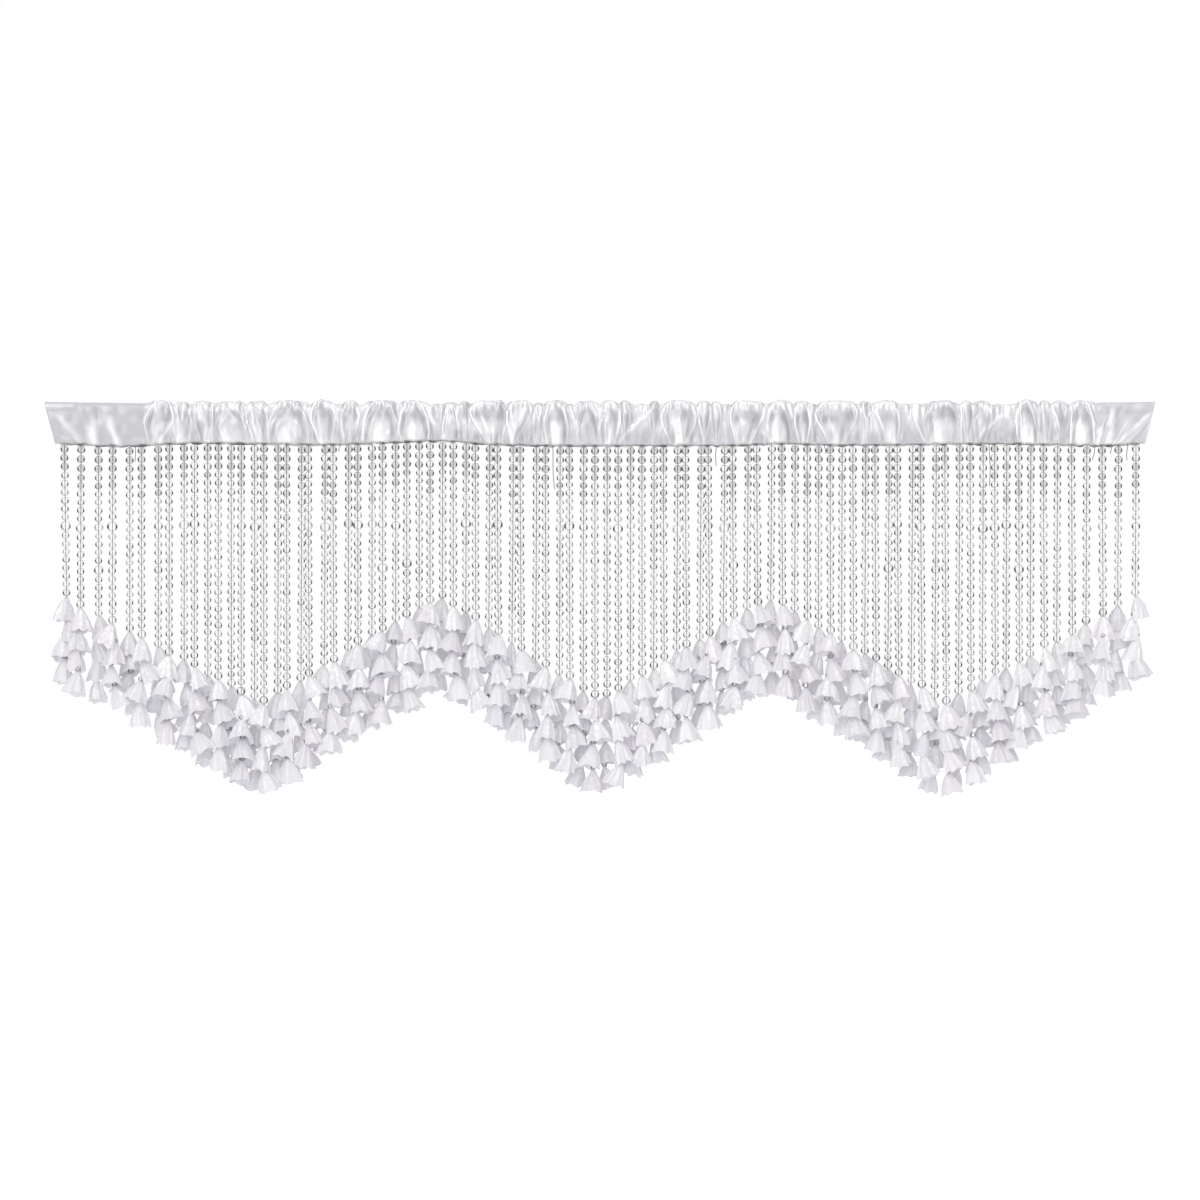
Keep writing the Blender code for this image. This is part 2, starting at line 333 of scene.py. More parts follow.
def bead_material(name, clear, edge):
    """Clear polished acrylic, with painted shade for the dark its refraction shows:
    more near the rim, darkest in spots at its sides.
    """
    made = Nodes(name)
    facing = made.add("ShaderNodeLayerWeight", {"Blend": 0.5}).outputs["Facing"]
    level, tone = made.attribute("level"), made.attribute("tone")
    # Painted shade for what refraction darkens in a clear bead: spots at its sides round the belt, and a
    # ring near its rim.
    side = made.span(facing, (0.14, 0.30), (0.0, 1.0))
    spot = made.math("MULTIPLY", side, made.span(level, (0.85, 0.15), (0.0, 1.0)))
    ring = made.span(facing, (0.34, 0.74), (0.0, 0.66))
    rim = made.math("MULTIPLY", ring, made.span(tone, (0.70, 1.05), (0.62, 1.10)))
    uneven = made.span(tone, (0.0, 1.0), (0.78, 1.10))
    bead_darkening = made.math("MULTIPLY", made.math("MAXIMUM", spot, rim), uneven)
    # Beads of high tone, the ones nearest the tape, get grey swirls and an even grey.
    swirl = made.span(made.noise(380.0, 1.0), (0.42, 0.60), (0.0, 0.34))
    veil = made.math("MULTIPLY", swirl, made.span(tone, (0.75, 1.15), (0.0, 1.0)))
    grey = made.span(tone, (0.90, 1.20), (0.0, 0.30))
    bead_darkening = made.math("MAXIMUM", made.math("MAXIMUM", bead_darkening, veil), grey)
    made.link(made.ramp(bead_darkening, [(0.0, clear), (0.95, edge)]), "Base Color")
    made.link(made.span(made.noise(300.0, 2.0), (0.3, 0.7), (0.0, 0.03)), "Roughness")
    made.set(Transmission_Weight=1.0, IOR=1.49, Specular_IOR_Level=0.5)
    return made.material


def thread_material(name, dark, light, turns, darker_share=0.0):
    """Twisted thread: two greys that wind round each other, darker along some stretches."""
    made = Nodes(name)
    twist = made.bands(turns, 0.4)
    yarn = made.ramp(twist, [(0.2, dark), (0.8, light)])
    # Some stretches are darker, by as much as the last argument gives.
    stretch = made.span(made.noise(42.0, 3.0), (0.48, 0.60), (0.0, darker_share))
    stretch_dark = (0.11, 0.10, 0.10, 1.0)
    made.link(made.mix(stretch, yarn, stretch_dark, data_type="RGBA"), "Base Color")
    made.bump(twist, 0.5)
    made.set(Roughness=0.6, Specular_IOR_Level=0.3, Sheen_Weight=0.2)
    return made.material


# ---- mesh helpers


def piece_from(name, points, faces, surface, sharp=None, **attributes):
    """A mesh piece from points and faces, with a number for each point in each attribute."""
    mesh = bpy.data.meshes.new(name)
    mesh.from_pydata(np.asarray(points).tolist(), [], np.asarray(faces, object).tolist())
    mesh.validate()
    mesh.shade_smooth()
    if sharp is not None:
        mesh.set_sharp_from_angle(angle=sharp)
    for attribute, values in attributes.items():
        layer = mesh.attributes.new(attribute, "FLOAT", "POINT")
        layer.data.foreach_set("value", np.asarray(values, np.float32))
    mesh.materials.append(surface)
    made = bpy.data.objects.new(name, mesh)
    bpy.context.scene.collection.objects.link(made)
    return made


def repeated(faces, times, count):
    """One mesh's faces, for as many copies of its points one after another; count is its points."""
    step = np.arange(times)[:, None, None] * count
    return (faces[None] + step).reshape(-1, faces.shape[1])


def copies(points, faces, places):
    """Joined copies of a small mesh; places is a list of (3x3 matrix, offset)."""
    turn = np.array([matrix for matrix, _ in places])
    offset = np.array([place for _, place in places])
    moved = np.einsum("nij,pj->npi", turn, points) + offset[:, None, :]
    return moved.reshape(-1, 3), repeated(faces, len(places), len(points))


def ring_faces(rings, sides, first):
    """Triangles between rings of points that follow one another down a form."""
    faces = []
    for r in range(rings - 1):
        for k in range(sides):
            a = first + r * sides + k
            b = first + r * sides + (k + 1) % sides
            faces += [(a, a + sides, b + sides), (a, b + sides, b)]
    return faces


def end_faces(point, ring, sides, upper):
    """A fan of triangles from one point to the ring whose first point is given."""
    fan = [(ring + k, ring + (k + 1) % sides) for k in range(sides)]
    return [(point, a, b) if upper else (a, point, b) for a, b in fan]


def turned(profile, sides):
    """A closed turned form from (radius, height) pairs, both ends on the axis."""
    points = [(0.0, 0.0, profile[0][1])]
    for radius, height in profile[1:-1]:
        for k in range(sides):
            angle = 2 * math.pi * k / sides
            points.append((radius * math.cos(angle), radius * math.sin(angle), height))
    points.append((0.0, 0.0, profile[-1][1]))
    foot = len(points) - 1
    faces = ring_faces(len(profile) - 2, sides, 1)
    faces += end_faces(0, 1, sides, True) + end_faces(foot, foot - sides, sides, False)
    return np.array(points), np.array(faces)


def rod_faces(rings, corners, down=False):
    """The faces of a closed rod whose rings of corners run along it, to the right or down."""
    faces = []
    for r in range(rings - 1):
        for k in range(corners):
            a = r * corners + k
            b = r * corners + (k + 1) % corners
            faces.append((a, b, b + corners, a + corners))
    last = (rings - 1) * corners
    faces += [tuple(reversed(range(corners))), tuple(range(last, last + corners))]
    return [face[::-1] for face in faces] if down else faces


def tube(path, radius, sides, down=True):
    """A tube with closed ends along a path that runs mostly down, or else to the right."""
    points = []
    for x, y, z in path:
        for k in range(sides):
            angle = 2 * math.pi * k / sides
            first, second = radius * math.cos(angle), radius * math.sin(angle)
            points.append((x + first, y + second, z) if down else (x, y + first, z + second))
    return points, rod_faces(len(path), sides, down)


def joined(meshes):
    """The points and faces of several small meshes, as one."""
    points, faces = [], []
    for own_points, own_faces in meshes:
        faces += [tuple(i + len(points) for i in face) for face in own_faces]
        points += own_points
    return points, faces


# ---- heading

FINE_STEP = 0.00105
FLAT_STEP = 0.0017
FRONT_LINES = 26
BACK_LINES = 5
GATHERED = (-0.628, 0.690)
RIDGE_WIDTH = 0.0018
RIDGE_SHARE = 0.16
# EDGE_LINE is the width of the painted highlight line along a puff's edge.
EDGE_LINE = 0.0008
GATHER_DIP = 0.0034  # how far the top edge falls between the puffs
PUFF_RISE = 0.0050  # and how far a puff lifts it
END_DIP = 0.0019  # how far the flat ends' top edge falls towards the gathers
CREASE_RELIEF = 0.5
# CREASE_SHADE and CREASE_LINE set the painted light on the creases' ridges and the painted shade in their
# hollows.
CREASE_SHADE = 0.16  # for each millimetre that a crease is high
CREASE_LINE = 0.72  # the width of a crease's gloss, as a share of the crease's own

# Creases and soft folds, in millimetres: each runs from one place along the width to another,
# between two percentages of the drop; a negative height is a hollow. The last number is how far
# it bows to the right, and a straight one has none.
# Each crease also paints light along its ridge and shade in its hollow into the satin's colour.
CREASES = table_of(
    "from to start end wide high bow",
    (-752, -722, 26, 90, 8, 0.9),
    (-733, -716, 80, 105, 3, 1.1),
    (-760, -750, 50, 100, 9, -1),
    (-732, -722, 12, 50, 9, -1),
    (-699, -700, 10, 110, 6, 1.1),
    (-708, -703, 50, 110, 11, 1.2),
    (-717, -716, 8, 45, 5, -0.8),
    (-707, -706, 10, 38, 3.4, -1.6),
    (-690, -689, 10, 42, 4, -2),
    (-686, -684, 55, 100, 6, -0.4),
    (-682, -666, 5, 100, 7, 0.8),
    (-675, -664, 35, 112, 9, 1.4),
    (-663, -658, 6, 40, 6, -1.4),
    (-648, -644, 5, 90, 8, -0.8),
    (-638, -634, 10, 100, 6, -0.5),
    (-598, -596, 5, 45, 8, -1.3),
    (-604, -600, 76, 108, 5, 2.2),
    (-583, -577, 0, 45, 1.4, 2.6),
    (-572, -572, -5, 40, 1.4, 2.6),
    (-560, -567, 0, 50, 1.4, 2.6),
    (-579, -579, 55, 110, 2.2, 1.6),
    (-557, -551, -5, 46, 5.5, 2.2),
    (-548, -556, 50, 105, 7, -1.2),
    (-531, -532, -5, 110, 1.8, 3.4),
    (-536, -538, 60, 110, 5, 2.4),
    (-511, -487, 18, 65, 3, 1.8),
    (-524, -514, 50, 105, 2.5, 2),
    (-482, -473, 4, 70, 4, 2.2),
    (-484, -460, 6, 34, 1.5, 2),
    (-474, -459, 2, 32, 1.5, 1.6),
    (-477, -479, 35, 100, 4, 2),
    (-469, -462, 45, 90, 1.8, 1.6),
    (-428, -428, -10, 16, 2.2, -2.6),
    (-430, -429, 60, 110, 4.5, 2),
    (-391, -381, 70, 105, 1.8, 2.4),
    (-365, -360, 5, 42, 4, 2.8),
    (-352, -341, 12, 36, 3, -1.6),
    (-322, -342, 8, 100, 1.9, 3, -3),
    (-303, -302, 60, 110, 5, 1.8),
    (-256, -255, 40, 110, 4.5, 1.6),
    (-240, -241, 75, 105, 1.6, 1.8),
    (-232, -231, 50, 108, 1.7, -4.2),
    (-236, -226, 0, 56, 4.6, 2.6, -2),
    (-195, -192, 68, 102, 8, -2.2),
    (-218, -218, -5, 55, 1.7, 3.2),
    (-209, -217, 0, 105, 1.5, 2.8, 2),
    (-205, -198, 8, 48, 1.4, 2.4),
    (-193, -197, 4, 48, 1.4, 2.4),
    (-187, -186, 10, 50, 5, -1.8),
    (-160, -156, 35, 95, 4, 1.6),
    (-147, -146, 75, 110, 1.7, 2.2),
    (-137, -139, 72, 110, 1.7, 2),
    (-124, -121, 0, 100, 3, 3),
    (-99, -110, 0, 62, 4, 2.6),
    (-90, -100, 50, 106, 9, -2),
    (-88, -85, 6, 42, 1.4, 2.4),
    (-79, -84, 4, 52, 1.4, 2.6),
    (-60, -60, -10, 14, 2.2, -2.6),
    (-60, -61, 45, 110, 5, 1.8),
    (-42, -34, 4, 40, 2.6, 3.2),
    (-21, -17, 15, 105, 9, -1.8),
    (-10, -2, 0, 30, 6, 2),
    (-14, 3, 4, 42, 1.7, 2.6),
    (-5, 9, 2, 26, 1.5, 2.2),
    (7, 8, 50, 105, 2, 2.2),
    (14, 12, 60, 105, 1.6, 1.8),
    (34, 36, 4, 30, 2.4, 3.2),
    (42, 48, 12, 50, 5, -1.4),
    (78, 22, 6, 102, 4, 2.8, -4),
    (70, 62, 36, 108, 11, -1.7),
    (95, 97, 28, 78, 1.5, 2),
    (109, 113, 38, 95, 1.5, 2),
    (120, 115, 38, 88, 1.5, 1.8),
    (109, 109, 78, 110, 7, 1.6),
    (129, 126, 62, 106, 2.2, -3.6),
    (160, 160, 2, 42, 5.5, 2.4),
    (151, 151, 48, 105, 8, -1.9),
    (172, 173, 35, 110, 3, 2),
    (215, 204, 66, 105, 1.7, 2.2),
    (197, 197, 78, 110, 4, 1.8),
    (226, 224, 70, 110, 4, 2.6),
    (236, 236, 35, 110, 5, 2),
    (256, 260, 28, 106, 7.5, -2.2),
    (259, 264, 2, 38, 4, 2.2),
    (289, 292, 15, 82, 1.5, 2.6),
    (296, 298, 50, 106, 2.6, -3.6),
    (325, 325, 72, 110, 4.5, 1.8),
    (360, 366, 4, 46, 1.4, 2.6),
    (372, 366, 8, 52, 1.4, 2.6),
    (360, 360, 50, 108, 1.5, 2.2),
    (374, 387, 6, 60, 3, 2.4),
    (405, 404, 2, 110, 2.4, 2.8),
    (396, 396, 66, 110, 6, 1.6),
    (416, 427, 14, 110, 7, -1.9),
    (432, 435, -5, 42, 4, 2.4),
    (430, 449, 26, 100, 2.8, 2.8, -2),
    (453, 453, 74, 108, 1.6, 2.2),
    (466, 466, 70, 110, 2.6, 2.2),
    (495, 496, -5, 105, 1.7, 3.2),
    (509, 509, 66, 108, 1.5, 2),
    (516, 527, 5, 32, 2, -2),
    (556, 559, -10, 40, 4, 2.2),
    (566, 512, 6, 102, 4, 2.8, -4),
    (556, 550, 36, 108, 11, -1.7),
    (576, 577, 0, 88, 1.6, 3.2),
    (591, 593, 45, 110, 4.5, 1.8),
    (569, 570, 60, 105, 2.5, -3.2),
    (606, 612, 8, 100, 2, 1.8),
    (620, 627, 2, 60, 3.4, 3),
    (636, 634, 30, 106, 8, -2.4),
    (620, 631, 4, 72, 1.5, 2.4),
    (641, 633, 4, 72, 1.5, 2.4),
    (647, 648, 15, 100, 1.6, 2.8),
    (669, 684, 6, 55, 1.7, 2.8),
    (660, 662, 45, 110, 5.5, 1.8),
    (690, 688, 60, 108, 4.5, 1.1),
    (698, 688, 20, 105, 1.6, 1.3),
    (705, 704, 10, 60, 5, 1.5),
    (712, 700, 35, 105, 1.7, 1.4),
    (700, 694, 10, 60, 4, -0.8),
    (716, 712, 10, 55, 6, -0.9),
    (728, 711, 45, 108, 1.8, 1.4),
    (708, 706, 65, 110, 7, 1.4),
    (742, 734, 5, 45, 12, 0.5),
    (742, 720, 55, 105, 4, -1),
    (759, 719, 26, 102, 3.4, 1.9),
    (752, 728, 66, 106, 2, 1),
    (760, 742, 48, 98, 3.6, -1.6),
)


def puff_place(x, t, puff):
    """Where a place lies in a puff: across it (-1 to 1), beyond its edge in metres, under its arch.

    An arch closes the puff at the top; below its widest line its sides run on to the seam.
    """
    start, foot = puff["from"] * MM, puff["to"] * MM
    widest = puff["widest"] / 100
    middle = (start + foot) / 2 + puff["lean"] * MM * (t - widest)
    half = (foot - start) / 2
    top = puff["top"] / 100 - 0.02
    if t < widest:
        across = (x - middle) / half
        rise = (widest - t) / (widest - top)
        slope = math.hypot(across / half, rise / ((widest - top) * HEADING_DROP))
        outside = (across * across + rise * rise - 1) / (2 * max(slope, 20.0))
    else:
        half *= 1 - puff["waist"] / 100 * smooth((t - widest) / (1.04 - widest))
        across = (x - middle) / half
        outside = (abs(across) - 1) * half
    arch = widest - (widest - top) * math.sqrt(max(0.0, 1 - across * across))
    return across, outside, t - arch


def puff_height(x, t, puff):
    """How far one puff stands out: hollow under its arch, full towards the seam."""
    across, outside, under = puff_place(x, t, puff)
    if outside > 0.006:
        return 0.0
    half = (puff["to"] - puff["from"]) / 2 * MM
    inside = smooth(-outside / (0.55 * half)) * max(0.0, 1 - across * across) ** 0.3
    belly = 0.16 + 0.74 * smooth((under - 0.10) / 0.42)
    ridge = bell(outside, RIDGE_WIDTH) * (1 - smooth((t - 0.75) / 0.3))
    return puff["swell"] * MM * (inside * belly + RIDGE_SHARE * ridge)


def puff_shade(x, t, puff):
    """The painted light and shade of the satin on one puff, and how much of the place it covers.

    A thin painted highlight line follows its edges, with a fine painted shadow line inside its arch.
    Then come a painted light crown, a painted grey band of shade, and a painted light tongue that
    runs down to the seam between sides greyed by painted shade.
    """
    across, outside, under = puff_place(x, t, puff)
    if outside > 0.006:
        return 0.0, 0.0
    own = math.sin(puff["from"] * 1.7)
    covers = smooth(0.5 - outside / 0.003)
    full = min(1.0, puff["swell"] / 7.0)
    right = smooth((across + 0.3) / 1.0)
    edge = puff["left"] + (puff["right"] - puff["left"]) * smooth(across + 0.5)
    # Painted highlight along the edges, and painted shade beside them (rim) and inside the arch (fold).
    line = bell(outside, EDGE_LINE) * edge * (1 - 0.6 * smooth((t - 0.7) / 0.3))
    rim = bell(outside + 0.0022, 0.0011) * right + bell(outside - 0.0022, 0.0012)
    rim *= (1 - smooth((t - 0.5) / 0.4)) * (0.4 + 0.6 * edge)
    fold = bell(outside + 0.0013, 0.0006) * smooth((0.85 - abs(across)) / 0.4)
    fold *= 1 - smooth((t - 0.12) / 0.08)
    # Painted light on the crown and the tongue, painted shade in the band and on the sides.
    crown = bell(under - 0.06, 0.06) * max(0.0, 1 - across * across)
    band = bell(t - 0.31 - 0.05 * own, 0.13) * smooth(-outside / 0.004)
    tongue = bell(across - puff["at"], 0.38) * smooth((under - 0.34) / 0.35) * puff["glow"]
    sides = smooth((abs(across) - 0.5) / 0.4) * smooth((under - 0.25) / 0.3)
    inner = 0.34 * crown - 0.34 * puff["dark"] * band + 0.44 * tongue - 0.12 * sides
    return covers * full * (inner - 0.34 * fold) - 0.22 * rim + 0.74 * line, covers


def crease_share(x, t, crease, thinner):
    """How much of one crease or fold is felt at place x and share t of the drop."""
    along = (100 * t - crease["start"]) / (crease["end"] - crease["start"])
    if not -0.2 < along < 1.2:
        return 0.0
    bow = 4 * crease["bow"] * along * (1 - along)
    path = crease["from"] + (crease["to"] - crease["from"]) * along + bow
    away, wide = x - path * MM, crease["wide"] * MM * thinner
    if abs(away) > 3 * wide:
        return 0.0
    ends = smooth(along / 0.35 + 0.4) * smooth((1 - along) / 0.35 + 0.4)
    return bell(away, wide) * ends


def crease_sum(x, t, thinner=1.0):
    """What the creases and soft folds add, in millimetres, at place x and share t of the drop."""
    return sum(crease["high"] * crease_share(x, t, crease, thinner) for crease in near(x, CREASES))


def gathered_share(x):
    """1 where the cloth is gathered, 0 on the flat ends."""
    return smooth((x - GATHERED[0]) / 0.02) * smooth((GATHERED[1] - x) / 0.02)


def corner_share(x):
    """1 on the left end's corner, where its band shows, and 0 beyond it."""
    return 1 - smooth((x + 0.728) / 0.012)


def front_relief(x, t):
    """How far the front stands out from the channel's plain wall."""
    height = max([puff_height(x, t, puff) for puff in near(x, PUFFS)], default=0.0)
    gathered = gathered_share(x)
    near_top = 1 - smooth(t / 0.6)
    near_seam = smooth((t - 0.45) / 0.45)
    valley = 1 - smooth(height / 0.003)
    pleats = rough(x * 170, t * 1.6, 3.0) * 0.0034 * near_top * valley
    gathers = rough(x * 130, t * 1.2, 6.0) * 0.0026 * near_seam
    soft = rough(x * 60 + t * 1.5, t * 2.4, 8.0) * 0.0022
    drape = rough(x * 30 - t * 1.2, t * 1.9, 5.0) * 0.0030
    body = math.sin(math.pi * min(1.0, t)) ** 0.6
    band = (0.0010 * bell(t - 0.09, 0.06) - 0.0006 * bell(t - 0.22, 0.07)) * corner_share(x)
    return (
        height
        + crease_sum(x, t) * MM * CREASE_RELIEF
        + gathered * (pleats + gathers)
        + (0.6 + 0.4 * gathered) * soft * body
        + drape * body
        + (1 - gathered) * band
    )


def satin_shade(x, t):
    """The painted light and shade of the satin at a place of the front: 0 in deep folds, 0.5 flat, 1 on
    crests.
    """
    shade, covered = 0.0, 0.0
    for puff in near(x, PUFFS):
        part, covers = puff_shade(x, t, puff)
        shade += part
        covered = max(covered, covers)
    gathered = gathered_share(x)
    # Painted shade between the puffs in the gathers: a little lighter near the top, greyer towards the
    # seam.
    valley = 0.10 * (1 - smooth((t - 0.12) / 0.30)) - 0.24 * smooth((t - 0.50) / 0.35)
    # Painted shadow in dark notches along the top edge between the puffs.
    notch_shadow = smooth(rough(x * 110, 0.0, 14.0) * 4) * (1 - smooth(t / 0.07))
    cloud = rough(x * 75, t * 2.6, 4.0) * 0.32
    # Painted sheen streaks down the gathers.
    painted_sheen_streak = rough(x * 240 + t * 3, t * 1.8, 7.0) * 0.18 * gathered
    # Painted shade: the flat ends are darker, the left one more.
    ends = -0.26 if x < 0 else -0.08
    # Painted light and shade near the top: a light band on the left corner's roll, a dark line along the
    # flat ends' top edge with a grey band below it, and a light band in the gathers.
    painted_top_bands = 0.30 * bell(t - 0.08, 0.05) * corner_share(x)
    painted_top_bands -= (0.60 * bell(t, 0.016) + 0.17 * bell(t - 0.23, 0.06)) * (1 - gathered)
    painted_top_bands += 0.09 * bell(t - 0.14, 0.05) * gathered
    shade += gathered * (valley - 0.40 * notch_shadow) * (1 - covered) + (1 - gathered) * ends
    # Painted light along the creases' ridges and painted shade in their hollows, stronger on the flat
    # ends.
    creases = crease_sum(x, t, CREASE_LINE) * CREASE_SHADE * (2.3 - 1.3 * gathered)
    return 0.42 + 1.2 * shade + painted_top_bands + cloud + painted_sheen_streak + creases


def crown_lift(x):
    """How far the top edge stands above its line: up on a puff, down at a gather."""
    lift = 0.0
    for puff in near(x, PUFFS):
        middle = (puff["from"] + puff["to"]) / 2 * MM
        half = (puff["to"] - puff["from"]) / 2 * MM
        across = abs(x - middle) / half
        if across < 1:
            lift = max(lift, PUFF_RISE * (1 - across ** 3) - 0.0002 * puff["top"])
    ruffle = rough(x * 150, 0.5, 2.0) * 0.0022
    gathered = gathered_share(x)
    from_corner = min(1.0, (TOP_WIDTH / 2 - abs(x)) / FLAT_END)
    flat = 0.0004 + END_DIP * from_corner
    return (lift - GATHER_DIP + ruffle) * gathered - flat * (1 - gathered)


def seam_pucker(x):
    """Small ups and downs of the sewn edge."""
    wide = rough(x * 90, 1.0, 12.0) * 0.0013
    return wide + rough(x * 310, 2.0, 12.0) * 0.0005


def wall_depth(t):
    """The channel's plain wall, from the crown down to the legs sewn to the tape."""
    if t < 0.16:
        return CHANNEL_HALF * math.sqrt(max(0.0, 1 - (1 - t / 0.16) ** 2)) ** 0.8
    return SEAM_HALF + (CHANNEL_HALF - SEAM_HALF) * (1 - 0.45 * smooth((t - 0.45) / 0.4))


def heading_point(x, side, t):
    """A point of the folded strip: side -1 is the front, t runs from the top to the seam."""
    half = TOP_WIDTH / 2
    flat = max(0.0, abs(x) - (half - FLAT_END)) / FLAT_END
    drawn_in = math.copysign(END_SLANT * flat * t, x)
    tucked = smooth((t - 0.93) / 0.07) ** 1.5
    if side < 0:
        relief = front_relief(x, t) * smooth(t / 0.05) * (1 - 0.45 * smooth((t - 0.78) / 0.2))
    else:
        ripple = rough(x * 60, t * 1.4, 9.0) * 0.0022
        relief = (ripple + 0.001) * smooth(t / 0.1)
    depth = wall_depth(t) + relief
    depth += (SEAM_HALF - depth) * tucked
    depth = max(depth, SEAM_HALF if t > 0.3 else 0.0)
    top = crown_lift(x) - SATIN / 2
    foot = -HEADING_DROP - SEWN_EDGE - seam_sag(x) + seam_pucker(x)
    return (x - drawn_in, side * depth, top + (foot - top) * t)


def heading_lines():
    """(side, t) for each line round the pocket, from the back's seam to the front's."""
    lines = [(1, 1 - 0.97 * k / BACK_LINES) for k in range(BACK_LINES)]
    lines += [(1, 0.012), (-1, 0.0), (-1, 0.008)]
    lines += [(-1, 0.02 + 0.98 * (k / (FRONT_LINES - 1)) ** 1.25) for k in range(FRONT_LINES)]
    return lines


def heading_columns():
    """Places along the width, close together where the cloth is gathered."""
    half = TOP_WIDTH / 2
    places = [-half]
    while places[-1] < half:
        fine = GATHERED[0] - 0.004 < places[-1] < GATHERED[1] + 0.012
        places.append(places[-1] + (FINE_STEP if fine else FLAT_STEP))
    places[-1] = half
    return places


def make_heading(surface):
    """The satin strip, folded over for the rod, gathered and sewn down to the tape."""
    lines = heading_lines()
    columns = heading_columns()
    points = [heading_point(x, side, t) for x in columns for side, t in lines]
    # Painted light and shade for the front's colour; the back gets an even middle value.
    painted_shades = [satin_shade(x, t) if side < 0 else 0.55 for x in columns for side, t in lines]
    n = len(lines)
    faces = []
    for i in range(len(columns) - 1):
        for k in range(n - 1):
            a = i * n + k
            faces.append((a, a + n, a + n + 1, a + 1))
    heading = piece_from("satin_heading", points, np.array(faces), surface, shade=painted_shades)
    thick = heading.modifiers.new("satin", "SOLIDIFY")
    thick.thickness = SEEN_SATIN
    thick.offset = 0.0
    return heading


# ---- strings


def string_places():
    """The strings' places along the width: far apart at the ends, in loose pairs between."""
    rng = random.Random(STRING_SEED)
    gaps = []
    for i in range(STRINGS - 1):
        from_end = min(i, STRINGS - 2 - i)
        spread = END_SPREAD * max(0.0, 1 - from_end / END_STRINGS)
        if i % 2 == 0:
            pull = 0.2 + 0.17 * math.sin(0.37 * i + 1.0) + rng.uniform(-0.05, 0.05)
        paired = -pull if i % 2 == 0 else pull
        gaps.append(1 + spread + paired * max(0.0, 1 - 2.2 * spread))
    unit = FRINGE_WIDTH / sum(gaps)
    places = [-FRINGE_WIDTH / 2]
    for gap in gaps:
        places.append(places[-1] + gap * unit)
    return places


def make_strings():
    """Each string's place, row and length, as the solid has them."""
    rng = random.Random(STRING_SEED)
    strings = []
    places = string_places()
    for i, x in enumerate(places):
        longer = rng.uniform(-LENGTH_SPREAD, LENGTH_SPREAD)
        beside = places[max(i - 1, 0)] + places[min(i + 1, STRINGS - 1)]
        strings.append({
            "x": x,
            "side": -1 if i % 2 else 1,
            "drop": read_between(ZIGZAG, x, "drop") + longer,
            "pitch": read_between(SPACING, x, "pitch"),
            "pushed": min(max(PUSHED_SHARE * (beside / 2 - x), -MOST_PUSHED), MOST_PUSHED),
        })
        for _ in range(2 * FLOWERS):
            rng.random()  # the solid's flowers draw these for their rims
    return strings


def string_point(string, z):
    """Where a string hangs at height z: in its row, and pushed aside by the flowers at its foot."""
    root = -HEADING_DROP - TAPE_SHOWS
    share = (root - z) / (string["drop"] + root)
    share = min(max(share, 0.0), 1.0)
    away = string["side"] * (ROOT_STEP + (ROW_STEP - ROOT_STEP) * share)
    return string["x"] + string["pushed"] * share ** 1.5, away, z


def bead_template():
    """A round bead of unit diameter with small dimples at its hole."""
    profile = [(0.0, 0.455)]
    for k in range(BEAD_RINGS):
        angle = math.radians(12 + (180 - 24) * k / (BEAD_RINGS - 1))
        profile.append((0.5 * math.sin(angle), 0.5 * math.cos(angle)))
    profile.append((0.0, -0.455))
    return turned(profile, BEAD_SIDES)


def bead_levels(points):
    """How far a bead's points are above or below the belt where its painted dark side spots lie."""
    return np.abs(points[:, 2] * 2 + 0.14)


def bead_places(string, rng):
    """(place, diameter, tone) of each bead of a string, from the tape to its first flower."""
    x = string["x"]
    top = -HEADING_DROP - seam_sag(x) - TAPE_SHOWS - TOP_BEAD / 2 - 0.0002
    last = -string["drop"] + LAST_BEAD / 2 - 0.001
    count = round((top - last) / BEAD_PITCH)
    larger = {round((top + ROW_DROP) / BEAD_PITCH): 1.5}
    if rng.random() < 0.28:
        larger[round((top + SECOND_ROW_DROP) / BEAD_PITCH)] = 2.0
    sizes = [TOP_BEAD] * TOP_BEADS
    for k in range(TOP_BEADS, count):
        size = SMALL_BEAD * rng.uniform(0.94, 1.06)
        if k in larger:
            size = SMALL_BEAD + ROW_SWELL * rng.random() ** larger[k]
        sizes.append(size)
    sizes.append(LAST_BEAD * rng.uniform(0.92, 1.04))
    steps = [0.0]
    for above, below in zip(sizes, sizes[1:]):
        steps.append(steps[-1] + (above + below) / 2 * rng.uniform(0.96, 1.05))
    places = []
    for k, (step, size) in enumerate(zip(steps, sizes)):
        z = top + (last - top) * step / steps[-1]
        sway = rng.uniform(-0.0004, 0.0004)
        tone = rng.random()
        # The beads nearest the tape get a higher tone, which the bead material turns greyer.
        near_tape = min(1.0, max(0.0, 1.3 - k / 6))
        tone += near_tape * (0.85 - 0.4 * tone)
        place = string_point(string, z)
        places.append(((place[0] + sway, place[1], z), size, tone))
    return places


def turn_matrix(rng, size):
    """A matrix that scales by size and turns a bead a little on its thread."""
    spin, nod = rng.uniform(0, math.pi), rng.uniform(-0.12, 0.12)
    c, s = math.cos(spin), math.sin(spin)
    cn, sn = math.cos(nod), math.sin(nod)
    about_z = np.array([[c, -s, 0], [s, c, 0], [0, 0, 1]])
    about_x = np.array([[1, 0, 0], [0, cn, -sn], [0, sn, cn]])
    return about_x @ about_z * size


